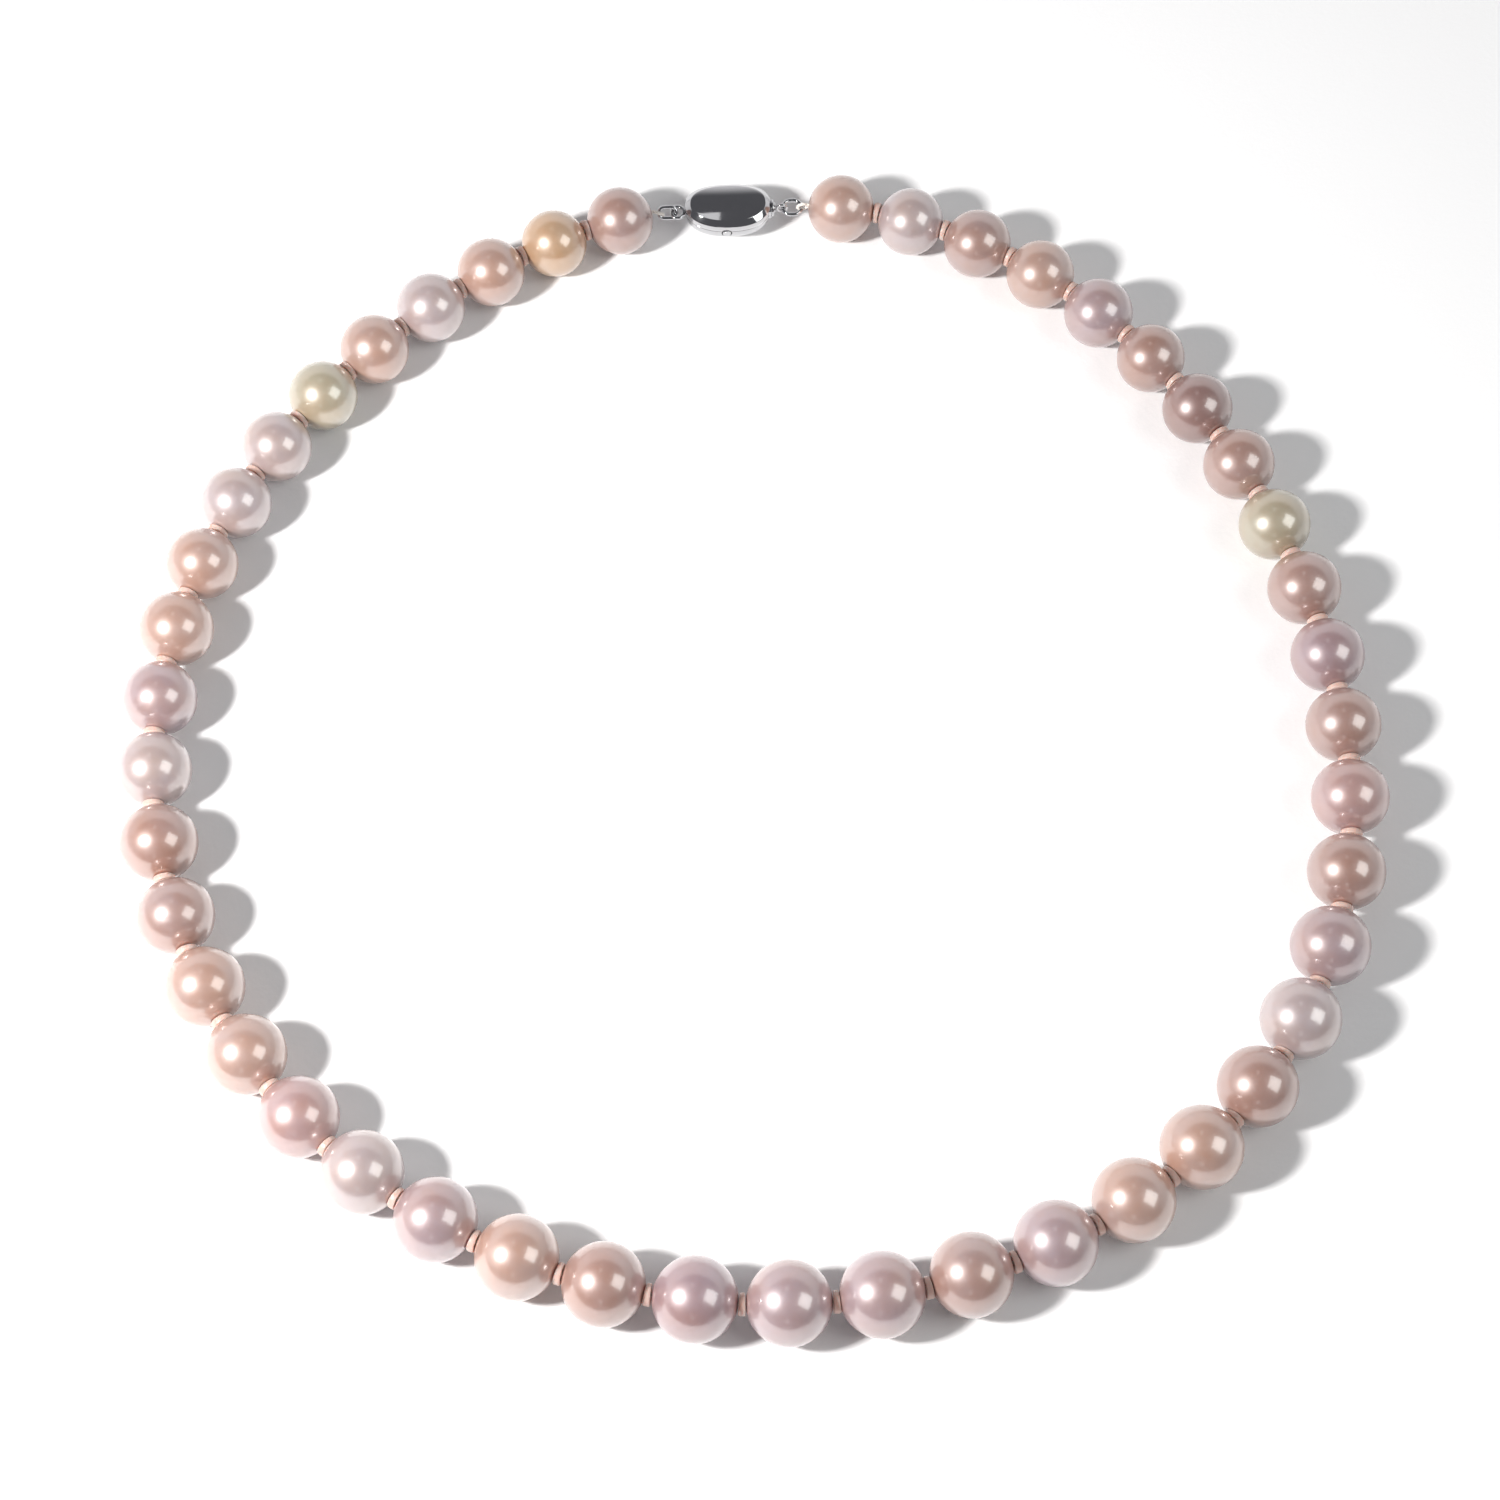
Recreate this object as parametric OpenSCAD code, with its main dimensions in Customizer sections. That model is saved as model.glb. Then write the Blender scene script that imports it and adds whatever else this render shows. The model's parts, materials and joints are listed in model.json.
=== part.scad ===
// Single-strand pearl necklace with a box clasp, lying closed on a flat surface.
// +Z is up and the table is Z = 0. The clasp is at the back (+Y), the largest pearls at the
// front (-Y). Pearls are numbered clockwise from the clasp, seen from above.
// The origin is the middle of the laid necklace's outline, on the table.

/* [Pearls] */
// Diameter of the pearls beside the clasp
pearl_back_d = 8.25; // [6.8:0.05:10]
// Diameter of the pearls at the front
pearl_front_d = 9.45; // [7.8:0.05:11.4]
// How far one pearl may stray from the graduation
pearl_scatter = 0.1; // [0:0.01:0.2]
// Distance between two pearls along the thread
pearl_gap = 0.66; // [0.55:0.01:1]
// Extra distance at the front gap
front_gap_extra = 0.34; // [0.2:0.01:0.6]
// Diameter of the drilled hole
drill_d = 1; // [0.8:0.05:1.3]

/* [Spacers] */
// Outer diameter of a spacer ring
spacer_d = 2.8; // [2.2:0.1:3.2]
// Hole through a spacer ring
spacer_hole_d = 0.9; // [0.7:0.05:1.1]
// Play between a spacer ring and each of its pearls, at the thread
spacer_play = 0.08; // [0.04:0.01:0.12]
// Play between a spacer ring and each of its pearls at its outer edge, for the strand's bends
spacer_edge_play = 0.26; // [0.12:0.01:0.3]
// Chamfer of a spacer ring's outer edges
spacer_chamfer = 0.12; // [0.05:0.01:0.2]

/* [Thread] */
// Diameter of the silk thread
thread_d = 0.5; // [0.3:0.05:0.6]
// Diameter of the wrapped thread of the end loops
loop_wire_d = 0.4; // [0.3:0.02:0.5]
// Width of an end loop, outside
loop_w = 1.4; // [1.3:0.05:1.8]

/* [Lay on the table] */
// Turn of the clasp about the vertical
clasp_turn = 3; // [-8:1:8]
// Two-sided oval part of the lay, in degrees of heading
lay_oval = -1.8; // [-4:0.1:4]
// Three-sided part of the lay, in degrees of heading
lay_lobe = -2.5; // [-4:0.1:4]
// Three-sided part a twelfth of a turn on, in degrees of heading
lay_lean = 2; // [-4:0.1:4]
// Four-sided part of the lay, in degrees of heading
lay_corner = 1; // [-3:0.1:3]

/* [Clasp box] */
// Height of the box's underside above the table, where the strand holds it
clasp_lift = 2; // [0:0.1:3]
// Length of the box
box_l = 10.8; // [9:0.1:13]
// Width of the box
box_w = 6.6; // [5.5:0.1:8]
// Height of the box
box_h = 3.4; // [2.9:0.1:4.2]
// Radius of the box's ends, seen from above
box_end_r = 2.6; // [2:0.1:2.7]
// Width of the bevel round the top facet and the underside
box_bevel = 0.5; // [0.3:0.05:0.8]
// Height of the bevel round the top facet and the underside
box_bevel_h = 0.3; // [0.2:0.05:0.4]
// Thickness of the box's wall
box_wall = 0.45; // [0.35:0.01:0.55]
// Height above the underside of the clasp's axis and of the seam between the shells
axis_z = 1.7; // [1.5:0.05:2]

/* [Clasp tongue] */
// Height of the tongue strip
tongue_h = 1.4; // [1:0.05:1.6]
// Thickness of the tongue strip
tongue_t = 0.35; // [0.25:0.01:0.45]
// Width of the plug that fills the slot
plug_w = 2.1; // [1.8:0.05:2.4]
// Play all round the plug in the slot
plug_play = 0.1; // [0.05:0.01:0.15]
// Reach of the tongue from the box's centre to its fold
tongue_reach = 3.3; // [2.6:0.1:3.5]
// Diameter of the release button
button_d = 1.1; // [0.9:0.05:1.3]
// Play round the release button in its hole
button_play = 0.12; // [0.08:0.01:0.2]
// Height of the release button's centre above the underside
button_z = 1.35; // [1.2:0.05:1.6]
// Place of the release button along the box
button_x = -0.3; // [-0.8:0.1:0.6]
// How far the release button stands proud of the box
button_proud = 0.06; // [0.03:0.01:0.2]
// Length of the release button
button_len = 1; // [0.8:0.05:1.2]
// Length of the pad behind the release button
pad_l = 1.4; // [1.2:0.05:1.6]
// Length of the plug that fills the slot
plug_l = 1.2; // [0.8:0.05:1.6]
// Inner radius of the tongue's hairpin fold
fold_r = 0.35; // [0.25:0.01:0.4]

/* [Rings] */
// Wire diameter of the rings and eyes
ring_wire_d = 0.5; // [0.4:0.02:0.55]
// Outer diameter of the stop disc on the tongue
stop_d = 2.2; // [1.8:0.1:2.4]
// Thickness of the stop disc
stop_t = 0.55; // [0.4:0.05:0.8]
// Gap between the stop disc and the end of the box
stop_gap = 0.05; // [0.03:0.01:0.1]
// Wire diameter of the eye on the tongue
tongue_eye_wire_d = 0.4; // [0.3:0.02:0.5]
// Outer diameter of the eye on the tongue
tongue_eye_d = 1.6; // [1.5:0.05:2.2]
// Length of the right jump ring, outside
right_ring_l = 2.85; // [2.7:0.05:3.8]
// Width of the right jump ring, outside
right_ring_w = 2.65; // [2:0.05:2.8]
// Distance along the clasp's axis from the right jump ring's end to the strand's first pivot
right_lead = 0.55; // [0.5:0.01:0.9]
// Width across the box of the eye on the box, outside
box_eye_w = 2.2; // [2:0.1:3]
// Length along the box of the eye on the box, outside
box_eye_l = 1.9; // [1.85:0.05:2.3]
// Length of the left jump ring, outside
left_ring_l = 2.7; // [2.5:0.1:3.4]
// Width of the left jump ring, outside
left_ring_w = 1.9; // [1.8:0.05:2.2]
// Tilt of the left jump ring out of the level
left_ring_tilt = 45; // [40:5:60]
// Distance along the clasp's axis from the left jump ring's end to the strand's last pivot
left_lead = 0.6; // [0.5:0.01:0.9]
// Play between two linked rings
link_play = 0.04; // [0.02:0.01:0.06]

/* [Hidden] */
$fn = 48;
long_arc_fn = 96;        // facets of the box's long arcs
pearl_count = 45;        // every pearl has a name of its own
front_pearl = 23;        // the last pearl of the right branch
thread_sides = 8;
thread_lead = 0.3;       // where the thread starts, past the end pivots and towards the pearls
loop_rings = 24;         // rings round an end loop's sweep
loop_pearl_gap = 0.05;   // from an end loop to the hole of its pearl

function pearl_name(k) = str("pearl_", k < 10 ? "0" : "", k);

// ---- places along the clasp's own axis, measured from the middle of the box ----

eye_hole_r = tongue_eye_d / 2 - tongue_eye_wire_d;
stop_x = box_l / 2 + stop_gap;
tongue_eye_x = stop_x + stop_t + tongue_eye_d / 2;
right_link_x = tongue_eye_x + eye_hole_r - ring_wire_d / 2 - link_play;
right_ring_x = right_link_x + (right_ring_l - ring_wire_d) / 2;
right_ring_tip = right_ring_x + (right_ring_l - ring_wire_d) / 2;
right_reach = right_ring_tip + right_lead;

box_eye_x = -box_l / 2 - box_eye_l / 2;
left_link_x = box_eye_x - box_eye_l / 2 + ring_wire_d + ring_wire_d / 2 + link_play;
left_ring_x = left_link_x - (left_ring_l - ring_wire_d) / 2;
left_ring_tip = left_ring_x - (left_ring_l - ring_wire_d) / 2;
left_reach = left_lead - left_ring_tip;

// ---- the strand: sizes, headings and pivots ----

function blend(k) = (1 - cos(360 * (k - 0.5) / pearl_count)) / 2;
function pearl_d(k) = pearl_back_d + (pearl_front_d - pearl_back_d) * blend(k)
    + pearl_scatter * sin(47 * k * k);
function gap_after(k) = pearl_gap + (k == front_pearl ? front_gap_extra : 0);
function link_l(k) = pearl_d(k) + (gap_after(k - 1) + gap_after(k)) / 2;
function total(v, n) = n == 0 ? 0 : v[n - 1] + total(v, n - 1);
function dir(a) = [cos(a), sin(a)];

links = [for (k = [1:pearl_count]) link_l(k)];
loop_l = total(links, pearl_count) + right_reach + left_reach;
clasp_run = (right_reach + left_reach) * dir(clasp_turn);

function share(i) = (right_reach + total(links, i) + links[i] / 2) / loop_l;
function lay(t) = clasp_turn - 360 * t + lay_oval * sin(720 * t) + lay_lobe * sin(1080 * t)
    + lay_lean * cos(1080 * t) + lay_corner * cos(1440 * t);

// The headings are bent by A sin(h) + B cos(h) until the strand ends where the clasp begins.
function close_up(h, rounds) = rounds == 0 ? h :
    let (
        l = links,
        all = [for (i = [0:len(h) - 1]) 1],
        miss = clasp_run + all * [for (i = [0:len(h) - 1]) l[i] * dir(h[i])],
        ss = all * [for (i = [0:len(h) - 1]) l[i] * sin(h[i]) ^ 2],
        sc = all * [for (i = [0:len(h) - 1]) l[i] * sin(h[i]) * cos(h[i])],
        cc = all * [for (i = [0:len(h) - 1]) l[i] * cos(h[i]) ^ 2],
        det = sc * sc - ss * cc,
        a = (-miss.x * cc - miss.y * sc) / det,
        b = (miss.y * ss + miss.x * sc) / det,
        turn = 180 / PI
    )
    close_up([for (x = h) x + turn * (a * sin(x) + b * cos(x))], rounds - 1);

headings = close_up([for (i = [0:pearl_count - 1]) lay(share(i))], 5);

function walk(p, i) = i == pearl_count ? [p] : concat([p], walk(p + links[i] * dir(headings[i]), i + 1));
free_pivots = walk(right_reach * dir(clasp_turn), 0);
free_mids = [for (k = [1:pearl_count]) (free_pivots[k - 1] + free_pivots[k]) / 2];

function reach_of(axis, side) = [for (k = [1:pearl_count]) side * free_mids[k - 1][axis] + pearl_d(k) / 2];
clasp_at = -[max(reach_of(0, 1)) - max(reach_of(0, -1)), max(reach_of(1, 1)) - max(reach_of(1, -1))] / 2;

function pivot_z(k) = k == 0 ? pearl_d(1) / 2
    : k == pearl_count ? pearl_d(k) / 2
    : (pearl_d(k) + pearl_d(k + 1)) / 4;
pivots = [for (k = [0:pearl_count])
    [free_pivots[k].x + clasp_at.x, free_pivots[k].y + clasp_at.y, pivot_z(k)]];
function pearl_at(k) = [free_mids[k - 1].x + clasp_at.x, free_mids[k - 1].y + clasp_at.y, pearl_d(k) / 2];
function gap_heading(k) = (headings[k - 1] + headings[k]) / 2;

// ---- helpers ----

module on_clasp() translate([clasp_at.x, clasp_at.y, clasp_lift]) rotate([0, 0, clasp_turn]) children();

// Turns the Z axis to point along way.
module facing(way) rotate([0, acos(way.z / norm(way)), atan2(way.y, way.x)]) children();

// A closed wire ring in the XY plane: a stadium when long and wide differ.
module wire_ring(long, wide, wire) {
    bend_r = wide / 2 - wire / 2;
    straight = long - wide;
    for (side = [0, 1]) rotate([0, 0, 180 * side]) {
        translate([straight / 2, 0, 0]) rotate([0, 0, -90])
            rotate_extrude(angle = 180) translate([bend_r, 0]) circle(d = wire);
        if (straight > 0.001)
            translate([0, bend_r, 0]) rotate([0, 90, 0]) cylinder(d = wire, h = straight, center = true);
    }
}

// The box seen from above: two long arcs and two end arcs that meet without a corner.
module box_outline(inset) {
    end_r = box_end_r - inset;
    end_x = box_l / 2 - box_end_r;
    side_r = (end_x ^ 2 + (box_w / 2) ^ 2 - box_end_r ^ 2) / (box_w - 2 * box_end_r);
    side_y = side_r - box_w / 2;
    join_x = end_x * side_r / (side_r - box_end_r);
    join = end_x + (join_x - end_x) * end_r / box_end_r;
    for (side = [-1, 1]) translate([side * end_x, 0]) circle(r = end_r);
    intersection() {
        translate([0, side_y]) circle(r = side_r - inset, $fn = long_arc_fn);
        translate([0, -side_y]) circle(r = side_r - inset, $fn = long_arc_fn);
        square([2 * join, box_w], center = true);
    }
}

module slab(inset, z0, z1) translate([0, 0, z0]) linear_extrude(z1 - z0) box_outline(inset);

// What is cut from both shells: the inside, the slot for the tongue and the button's hole.
module box_cuts() {
    slab(box_wall, box_bevel_h + box_wall, box_h - box_bevel_h - box_wall);
    slot_w = plug_w + 2 * plug_play;
    slot_h = tongue_h + 2 * plug_play;
    translate([0, -slot_w / 2, axis_z - slot_h / 2]) cube([box_l, slot_w, slot_h]);
    translate([button_x, -box_w / 4, button_z]) rotate([90, 0, 0])
        cylinder(d = button_d + 2 * button_play, h = box_w);
}

// ---- sub-parts of the clasp ----

module box_top_shell() color("silver") on_clasp() difference() {
    union() {
        slab(0, axis_z, box_h - box_bevel_h);
        slab(box_bevel, box_h - box_bevel_h, box_h);
    }
    box_cuts();
}

module box_bottom_shell() color("gainsboro") on_clasp() difference() {
    union() {
        slab(box_bevel, 0, box_bevel_h);
        slab(0, box_bevel_h, axis_z);
    }
    box_cuts();
}

module box_eye() color("silver") on_clasp()
    translate([box_eye_x, 0, axis_z]) rotate([0, 0, 90]) wire_ring(box_eye_w, box_eye_l, ring_wire_d);

leg_y = plug_w / 2 - tongue_t;                 // inner face of the rigid leg
fold_y = leg_y - fold_r;
spring_y = fold_y - fold_r - tongue_t / 2;     // middle of the spring leg at the fold
button_root_y = button_len - box_w / 2 - button_proud;

module tongue_leaf() color("lightgray") on_clasp() {
    translate([stop_x - plug_l, -plug_w / 2, axis_z - tongue_h / 2]) cube([plug_l, plug_w, tongue_h]);
    translate([-tongue_reach, leg_y, axis_z - tongue_h / 2])
        cube([tongue_reach + stop_x - plug_l, tongue_t, tongue_h]);
}

// The hairpin fold, the leg that springs back, and the pad that the release button stands on.
module tongue_spring() color("darkgray") on_clasp() translate([0, 0, axis_z - tongue_h / 2]) {
    run = [button_x + tongue_reach, button_root_y + tongue_t / 2 - spring_y];
    translate([button_x - pad_l / 2, button_root_y, 0]) cube([pad_l, tongue_t, tongue_h]);
    translate([-tongue_reach, fold_y, 0]) rotate([0, 0, 90])
        rotate_extrude(angle = 180) translate([fold_r, 0]) square([tongue_t, tongue_h]);
    translate([-tongue_reach, spring_y, 0]) rotate([0, 0, atan2(run.y, run.x)])
        translate([0, -tongue_t / 2, 0]) cube([norm(run), tongue_t, tongue_h]);
}

module release_button() color("silver") on_clasp()
    translate([button_x, button_root_y, button_z]) rotate([90, 0, 0])
        cylinder(d = button_d, h = button_len);

module tongue_stop() color("silver") on_clasp()
    translate([stop_x, 0, axis_z]) rotate([0, 90, 0]) cylinder(d = stop_d, h = stop_t);

module tongue_eye() color("silver") on_clasp()
    translate([tongue_eye_x, 0, axis_z]) rotate([90, 0, 0])
        wire_ring(tongue_eye_d, tongue_eye_d, tongue_eye_wire_d);

module right_jump_ring() color("silver") on_clasp()
    translate([right_ring_x, 0, axis_z]) wire_ring(right_ring_l, right_ring_w, ring_wire_d);

module left_jump_ring() color("silver") on_clasp()
    translate([left_ring_x, 0, axis_z]) rotate([left_ring_tilt, 0, 0])
        wire_ring(left_ring_l, left_ring_w, ring_wire_d);

// ---- the thread and its end loops ----

// A round tube through the points; at each point it stands square to the side and up vectors.
module tube(points, sides, ups, d, closed = false) {
    n = len(points);
    m = thread_sides;
    skin = [for (k = [0:n - 1]) for (s = [0:m - 1])
        points[k] + d / 2 * (cos(360 * s / m) * sides[k] + sin(360 * s / m) * ups[k])];
    walls = [for (k = [0:n - (closed ? 1 : 2)]) for (s = [0:m - 1])
        let (a = k * m, b = (k + 1) % n * m, t = (s + 1) % m)
        [a + s, b + s, b + t, a + t]];
    ends = closed ? [] : [[for (s = [0:m - 1]) s], [for (s = [m - 1:-1:0]) (n - 1) * m + s]];
    polyhedron(skin, concat(walls, ends), convexity = 4);
}

// An end loop of wrapped thread: a stadium from point a to point b, its legs apart along across.
module end_loop(a, b, across) {
    bend_r = (loop_w - loop_wire_d) / 2;
    way = b - a;
    along = way / norm(way);
    straight = norm(way) / 2 - bend_r - loop_wire_d / 2;
    turns = [for (i = [0:loop_rings - 1]) 360 * (i + 0.5) / loop_rings];
    points = [for (t = turns) (a + b) / 2 + along * (bend_r * cos(t) + sign(cos(t)) * straight)
        + across * bend_r * sin(t)];
    outwards = [for (t = turns) along * cos(t) + across * sin(t)];
    tube(points, outwards, [for (t = turns) cross(across, along)], loop_wire_d, closed = true);
}

// An end loop from round a ring's wire at a point to the hole of its pearl, square to the wire.
module ring_to_pearl(at, wire_way, hole) {
    run = hole - at;
    way = run / norm(run);
    slant = wire_way * way;
    square = sqrt(1 - slant * slant);
    hang = (ring_wire_d / 2 + loop_wire_d / 2 * slant) / square + loop_wire_d + link_play;
    end_loop(at - way * hang, hole, cross(wire_way, way) / square);
}

function hole_height(k) = pearl_d(k) / 2 - clasp_lift;
loop_past = pearl_gap / 2 - loop_pearl_gap;     // from an end pivot to the tip of its end loop

module right_end_loop() color("ivory") on_clasp()
    ring_to_pearl([right_ring_tip, 0, axis_z], [0, 1, 0], [right_reach + loop_past, 0, hole_height(1)]);

module left_end_loop() color("ivory") on_clasp()
    ring_to_pearl([left_ring_tip, 0, axis_z], [0, cos(left_ring_tilt), sin(left_ring_tilt)],
        [-left_reach - loop_past, 0, hole_height(pearl_count)]);

function lead_in(from, to) = from + (to - from) / norm(to - from) * thread_lead;

module thread() color("ivory") {
    points = concat(
        [lead_in(pivots[0], pivots[1])],
        [for (k = [1:pearl_count - 1]) pivots[k]],
        [lead_in(pivots[pearl_count], pivots[pearl_count - 1])]
    );
    turns = concat([headings[0]], [for (k = [1:pearl_count - 1]) gap_heading(k)],
        [headings[pearl_count - 1]]);
    tube(points, [for (h = turns) [-sin(h), cos(h), 0]], [for (h = turns) [0, 0, 1]], thread_d);
}

// ---- pearls, each with the spacer ring on its outer side ----

tones = ["mistyrose", "thistle", "peachpuff", "rosybrown", "lavenderblush"];

// The faces flare with the round of the pearls beside them.
module spacer_ring(k) {
    pearl_r = max(pearl_d(k), pearl_d(k + 1)) / 2;
    hole_r = spacer_hole_d / 2;
    edge_r = spacer_d / 2;
    hole_t = pearl_gap / 2 - spacer_play;
    edge_t = pearl_gap / 2 + pearl_r - sqrt(pearl_r ^ 2 - edge_r ^ 2) - spacer_edge_play;
    translate(pivots[k]) rotate([0, 90, gap_heading(k)]) rotate_extrude() polygon([
        [hole_r, -hole_t], [edge_r - spacer_chamfer, -edge_t], [edge_r, spacer_chamfer - edge_t],
        [edge_r, edge_t - spacer_chamfer], [edge_r - spacer_chamfer, edge_t], [hole_r, hole_t]
    ]);
}

// The sphere's poles lie on the drilled hole.
module drilled_pearl(k) translate(pearl_at(k)) facing(pivots[k] - pivots[k - 1]) difference() {
    sphere(d = pearl_d(k));
    cylinder(d = drill_d, h = 2 * pearl_d(k), center = true);
}

module pearl(k) {
    color(tones[(k * 7) % len(tones)]) drilled_pearl(k);
    if (k <= front_pearl) color("cornsilk") spacer_ring(k);
    else if (k > front_pearl + 1) color("cornsilk") spacer_ring(k - 1);
}

box_top_shell();
box_bottom_shell();
box_eye();
tongue_leaf();
tongue_spring();
release_button();
tongue_stop();
tongue_eye();
right_jump_ring();
left_jump_ring();
right_end_loop();
left_end_loop();
thread();
for (k = [1:pearl_count]) pearl(k);
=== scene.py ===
"""A freshwater pearl necklace with a silver box clasp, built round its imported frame."""

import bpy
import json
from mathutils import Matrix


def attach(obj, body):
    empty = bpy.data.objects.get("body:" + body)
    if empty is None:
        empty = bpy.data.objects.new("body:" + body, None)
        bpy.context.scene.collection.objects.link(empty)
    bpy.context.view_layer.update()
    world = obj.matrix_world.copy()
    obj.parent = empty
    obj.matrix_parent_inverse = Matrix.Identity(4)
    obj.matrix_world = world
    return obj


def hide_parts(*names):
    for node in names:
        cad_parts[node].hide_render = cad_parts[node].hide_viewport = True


bl_info = {
    "name": "Pearl Necklace",
    "version": (1, 0, 0),
    "blender": (4, 5, 0),
    "location": "3D View > Sidebar > Necklace",
    "description": "Pearls, spacers, silk thread and a silver box clasp on a fixed frame",
    "category": "Add Mesh",
}

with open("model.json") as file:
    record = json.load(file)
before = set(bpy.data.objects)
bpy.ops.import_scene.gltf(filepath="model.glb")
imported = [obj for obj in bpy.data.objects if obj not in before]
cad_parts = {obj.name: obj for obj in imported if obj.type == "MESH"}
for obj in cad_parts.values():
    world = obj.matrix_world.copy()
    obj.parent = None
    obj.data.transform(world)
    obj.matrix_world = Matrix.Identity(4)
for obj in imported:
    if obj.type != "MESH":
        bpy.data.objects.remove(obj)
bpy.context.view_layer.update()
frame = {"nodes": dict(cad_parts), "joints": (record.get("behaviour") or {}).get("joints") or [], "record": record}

import json
import math

import bmesh
import bpy
from mathutils import Matrix, Vector

MM = 0.001
PEARL_COUNT = 45
FRONT_PEARL = 23         # the right branch's last pearl: the loop is opened in the gap after it
RING_WIRE = 0.5 * MM
JUMP_RING_TILT = math.radians(45)
WELD = 1e-6              # points nearer than this are one point, in metres
SOFT_EDGE = 0.05 * MM


# ------------------------ places from the frame

def islands(node):
    """The boxes of a CAD node's separate solids, largest first."""
    bm = bmesh.new()
    bm.from_mesh(frame["nodes"][node].data)
    bmesh.ops.remove_doubles(bm, verts=bm.verts, dist=WELD)
    seen, found = set(), []
    for start in bm.verts:
        if start in seen:
            continue
        seen.add(start)
        stack, points = [start], []
        while stack:
            vert = stack.pop()
            points.append(vert.co.copy())
            for edge in vert.link_edges:
                other = edge.other_vert(vert)
                if other not in seen:
                    seen.add(other)
                    stack.append(other)
        low = Vector(min(p[i] for p in points) for i in range(3))
        high = Vector(max(p[i] for p in points) for i in range(3))
        found.append((low, high))
    bm.free()
    return sorted(found, key=lambda box: (box[0] - box[1]).length, reverse=True)


def pearl_name(number):
    return f"pearl_{number:02d}"


def read_strand():
    """Each pearl's centre and diameter, and the centres of the gaps on both sides of each."""
    pearls, gaps = {}, {}
    for number in range(1, PEARL_COUNT + 1):
        solids = islands(pearl_name(number))
        low, high = solids[0]
        pearls[number] = ((low + high) / 2, high.z - low.z)
        if len(solids) > 1:
            gap = number if number <= FRONT_PEARL else number - 1
            gaps[gap] = (solids[1][0] + solids[1][1]) / 2
    for end, gap in ((1, 1), (PEARL_COUNT, PEARL_COUNT - 1)):
        centre = pearls[end][0]
        mirrored = 2 * centre - gaps[gap]
        mirrored.z = centre.z
        gaps[0 if end == 1 else PEARL_COUNT] = mirrored
    return pearls, gaps


PEARLS, GAPS = read_strand()
JOINTS = {joint["name"]: joint for joint in frame["joints"]}
MOUNTS = {mount["name"]: mount for mount in frame["record"]["mounts"]}
BODIES = frame["record"]["behaviour"]["bodies"]
BODY_OF = {node: body for body, nodes in BODIES.items() for node in nodes}


def read_clasp_frame():
    """The clasp's own axes: X along the tongue, origin under the middle of the box."""
    along = Vector(JOINTS["tongue_slide"]["axis"]).normalized()
    up = Vector((0, 0, 1))
    across = up.cross(along)
    place = Matrix((along, across, up)).transposed().to_4x4()
    place.translation = Vector(MOUNTS["clasp_underside"]["pos_m"])
    return place


CLASP = read_clasp_frame()


def clasp_box(node):
    """A CAD node's box along the clasp's own axes, in metres."""
    back = CLASP.inverted()
    points = [back @ v.co for v in frame["nodes"][node].data.vertices]
    low = Vector(min(p[i] for p in points) for i in range(3))
    high = Vector(max(p[i] for p in points) for i in range(3))
    return low, high


# ------------------------ settings

class PearlSettings(bpy.types.PropertyGroup):
    """The pearls' shape."""

    flattening: bpy.props.FloatProperty(
        name="Flattening", description="How much shorter a pearl is along its drill hole",
        default=0.014, min=0, max=0.1, subtype="FACTOR")
    fullness: bpy.props.FloatProperty(
        name="Fullness", description="How much fuller the nacre is than its plain sphere",
        default=0.015, min=0, max=0.03, subtype="FACTOR")
    unevenness: bpy.props.FloatProperty(
        name="Unevenness", description="Height of the broad swellings, as a share of the radius",
        default=0.013, min=0, max=0.05, subtype="FACTOR")
    pitting: bpy.props.FloatProperty(
        name="Pitting", description="Depth of the small dents, as a share of the radius",
        default=0.006, min=0, max=0.03, subtype="FACTOR")
    ring_depth: bpy.props.FloatProperty(
        name="Ring Depth", description="Depth of the growth rings, as a share of the radius",
        default=0.0035, min=0, max=0.02, subtype="FACTOR")
    tones: bpy.props.StringProperty(
        name="Tones", description="One letter for each pearl's colour, clockwise from the clasp",
        default="PWMPLRTRCRVRKRLWRPPLMLLVRPLWKPPMRWLPPWWCPWPOM")


class StringingSettings(bpy.types.PropertyGroup):
    """What holds the pearls together."""

    thread: bpy.props.FloatProperty(
        name="Thread", description="Diameter of the twisted silk thread",
        default=0.46 * MM, min=0.3 * MM, max=0.6 * MM, unit="LENGTH")
    thread_turns: bpy.props.FloatProperty(
        name="Twist", description="Turns of the thread in each millimetre",
        default=0.55, min=0, max=2)
    spacer_outer: bpy.props.FloatProperty(
        name="Spacer Diameter", description="Outer diameter of the soft spacer rings",
        default=2.6 * MM, min=2 * MM, max=3.2 * MM, unit="LENGTH")
    spacer_thick: bpy.props.FloatProperty(
        name="Spacer Thickness", description="Thickness of the soft spacer rings",
        default=0.46 * MM, min=0.3 * MM, max=0.8 * MM, unit="LENGTH")


class ClaspSettings(bpy.types.PropertyGroup):
    """The clasp's finish and fine shape."""

    facet_inset: bpy.props.FloatProperty(
        name="Facet Inset", description="How far the top facet's edge stands in from the outline",
        default=0.68 * MM, min=0.2 * MM, max=1 * MM, unit="LENGTH")
    dome: bpy.props.FloatProperty(
        name="Dome", description="Rise of the top facet's middle over its edge",
        default=0.2 * MM, min=0, max=0.5 * MM, unit="LENGTH")
    wall: bpy.props.FloatProperty(
        name="Wall", description="Thickness of the shells' walls",
        default=0.42 * MM, min=0.2 * MM, max=0.6 * MM, unit="LENGTH")
    silver: bpy.props.FloatVectorProperty(
        name="Silver", description="Colour of the polished silver",
        default=(0.60, 0.60, 0.615), min=0, max=1, size=3, subtype="COLOR")


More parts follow.
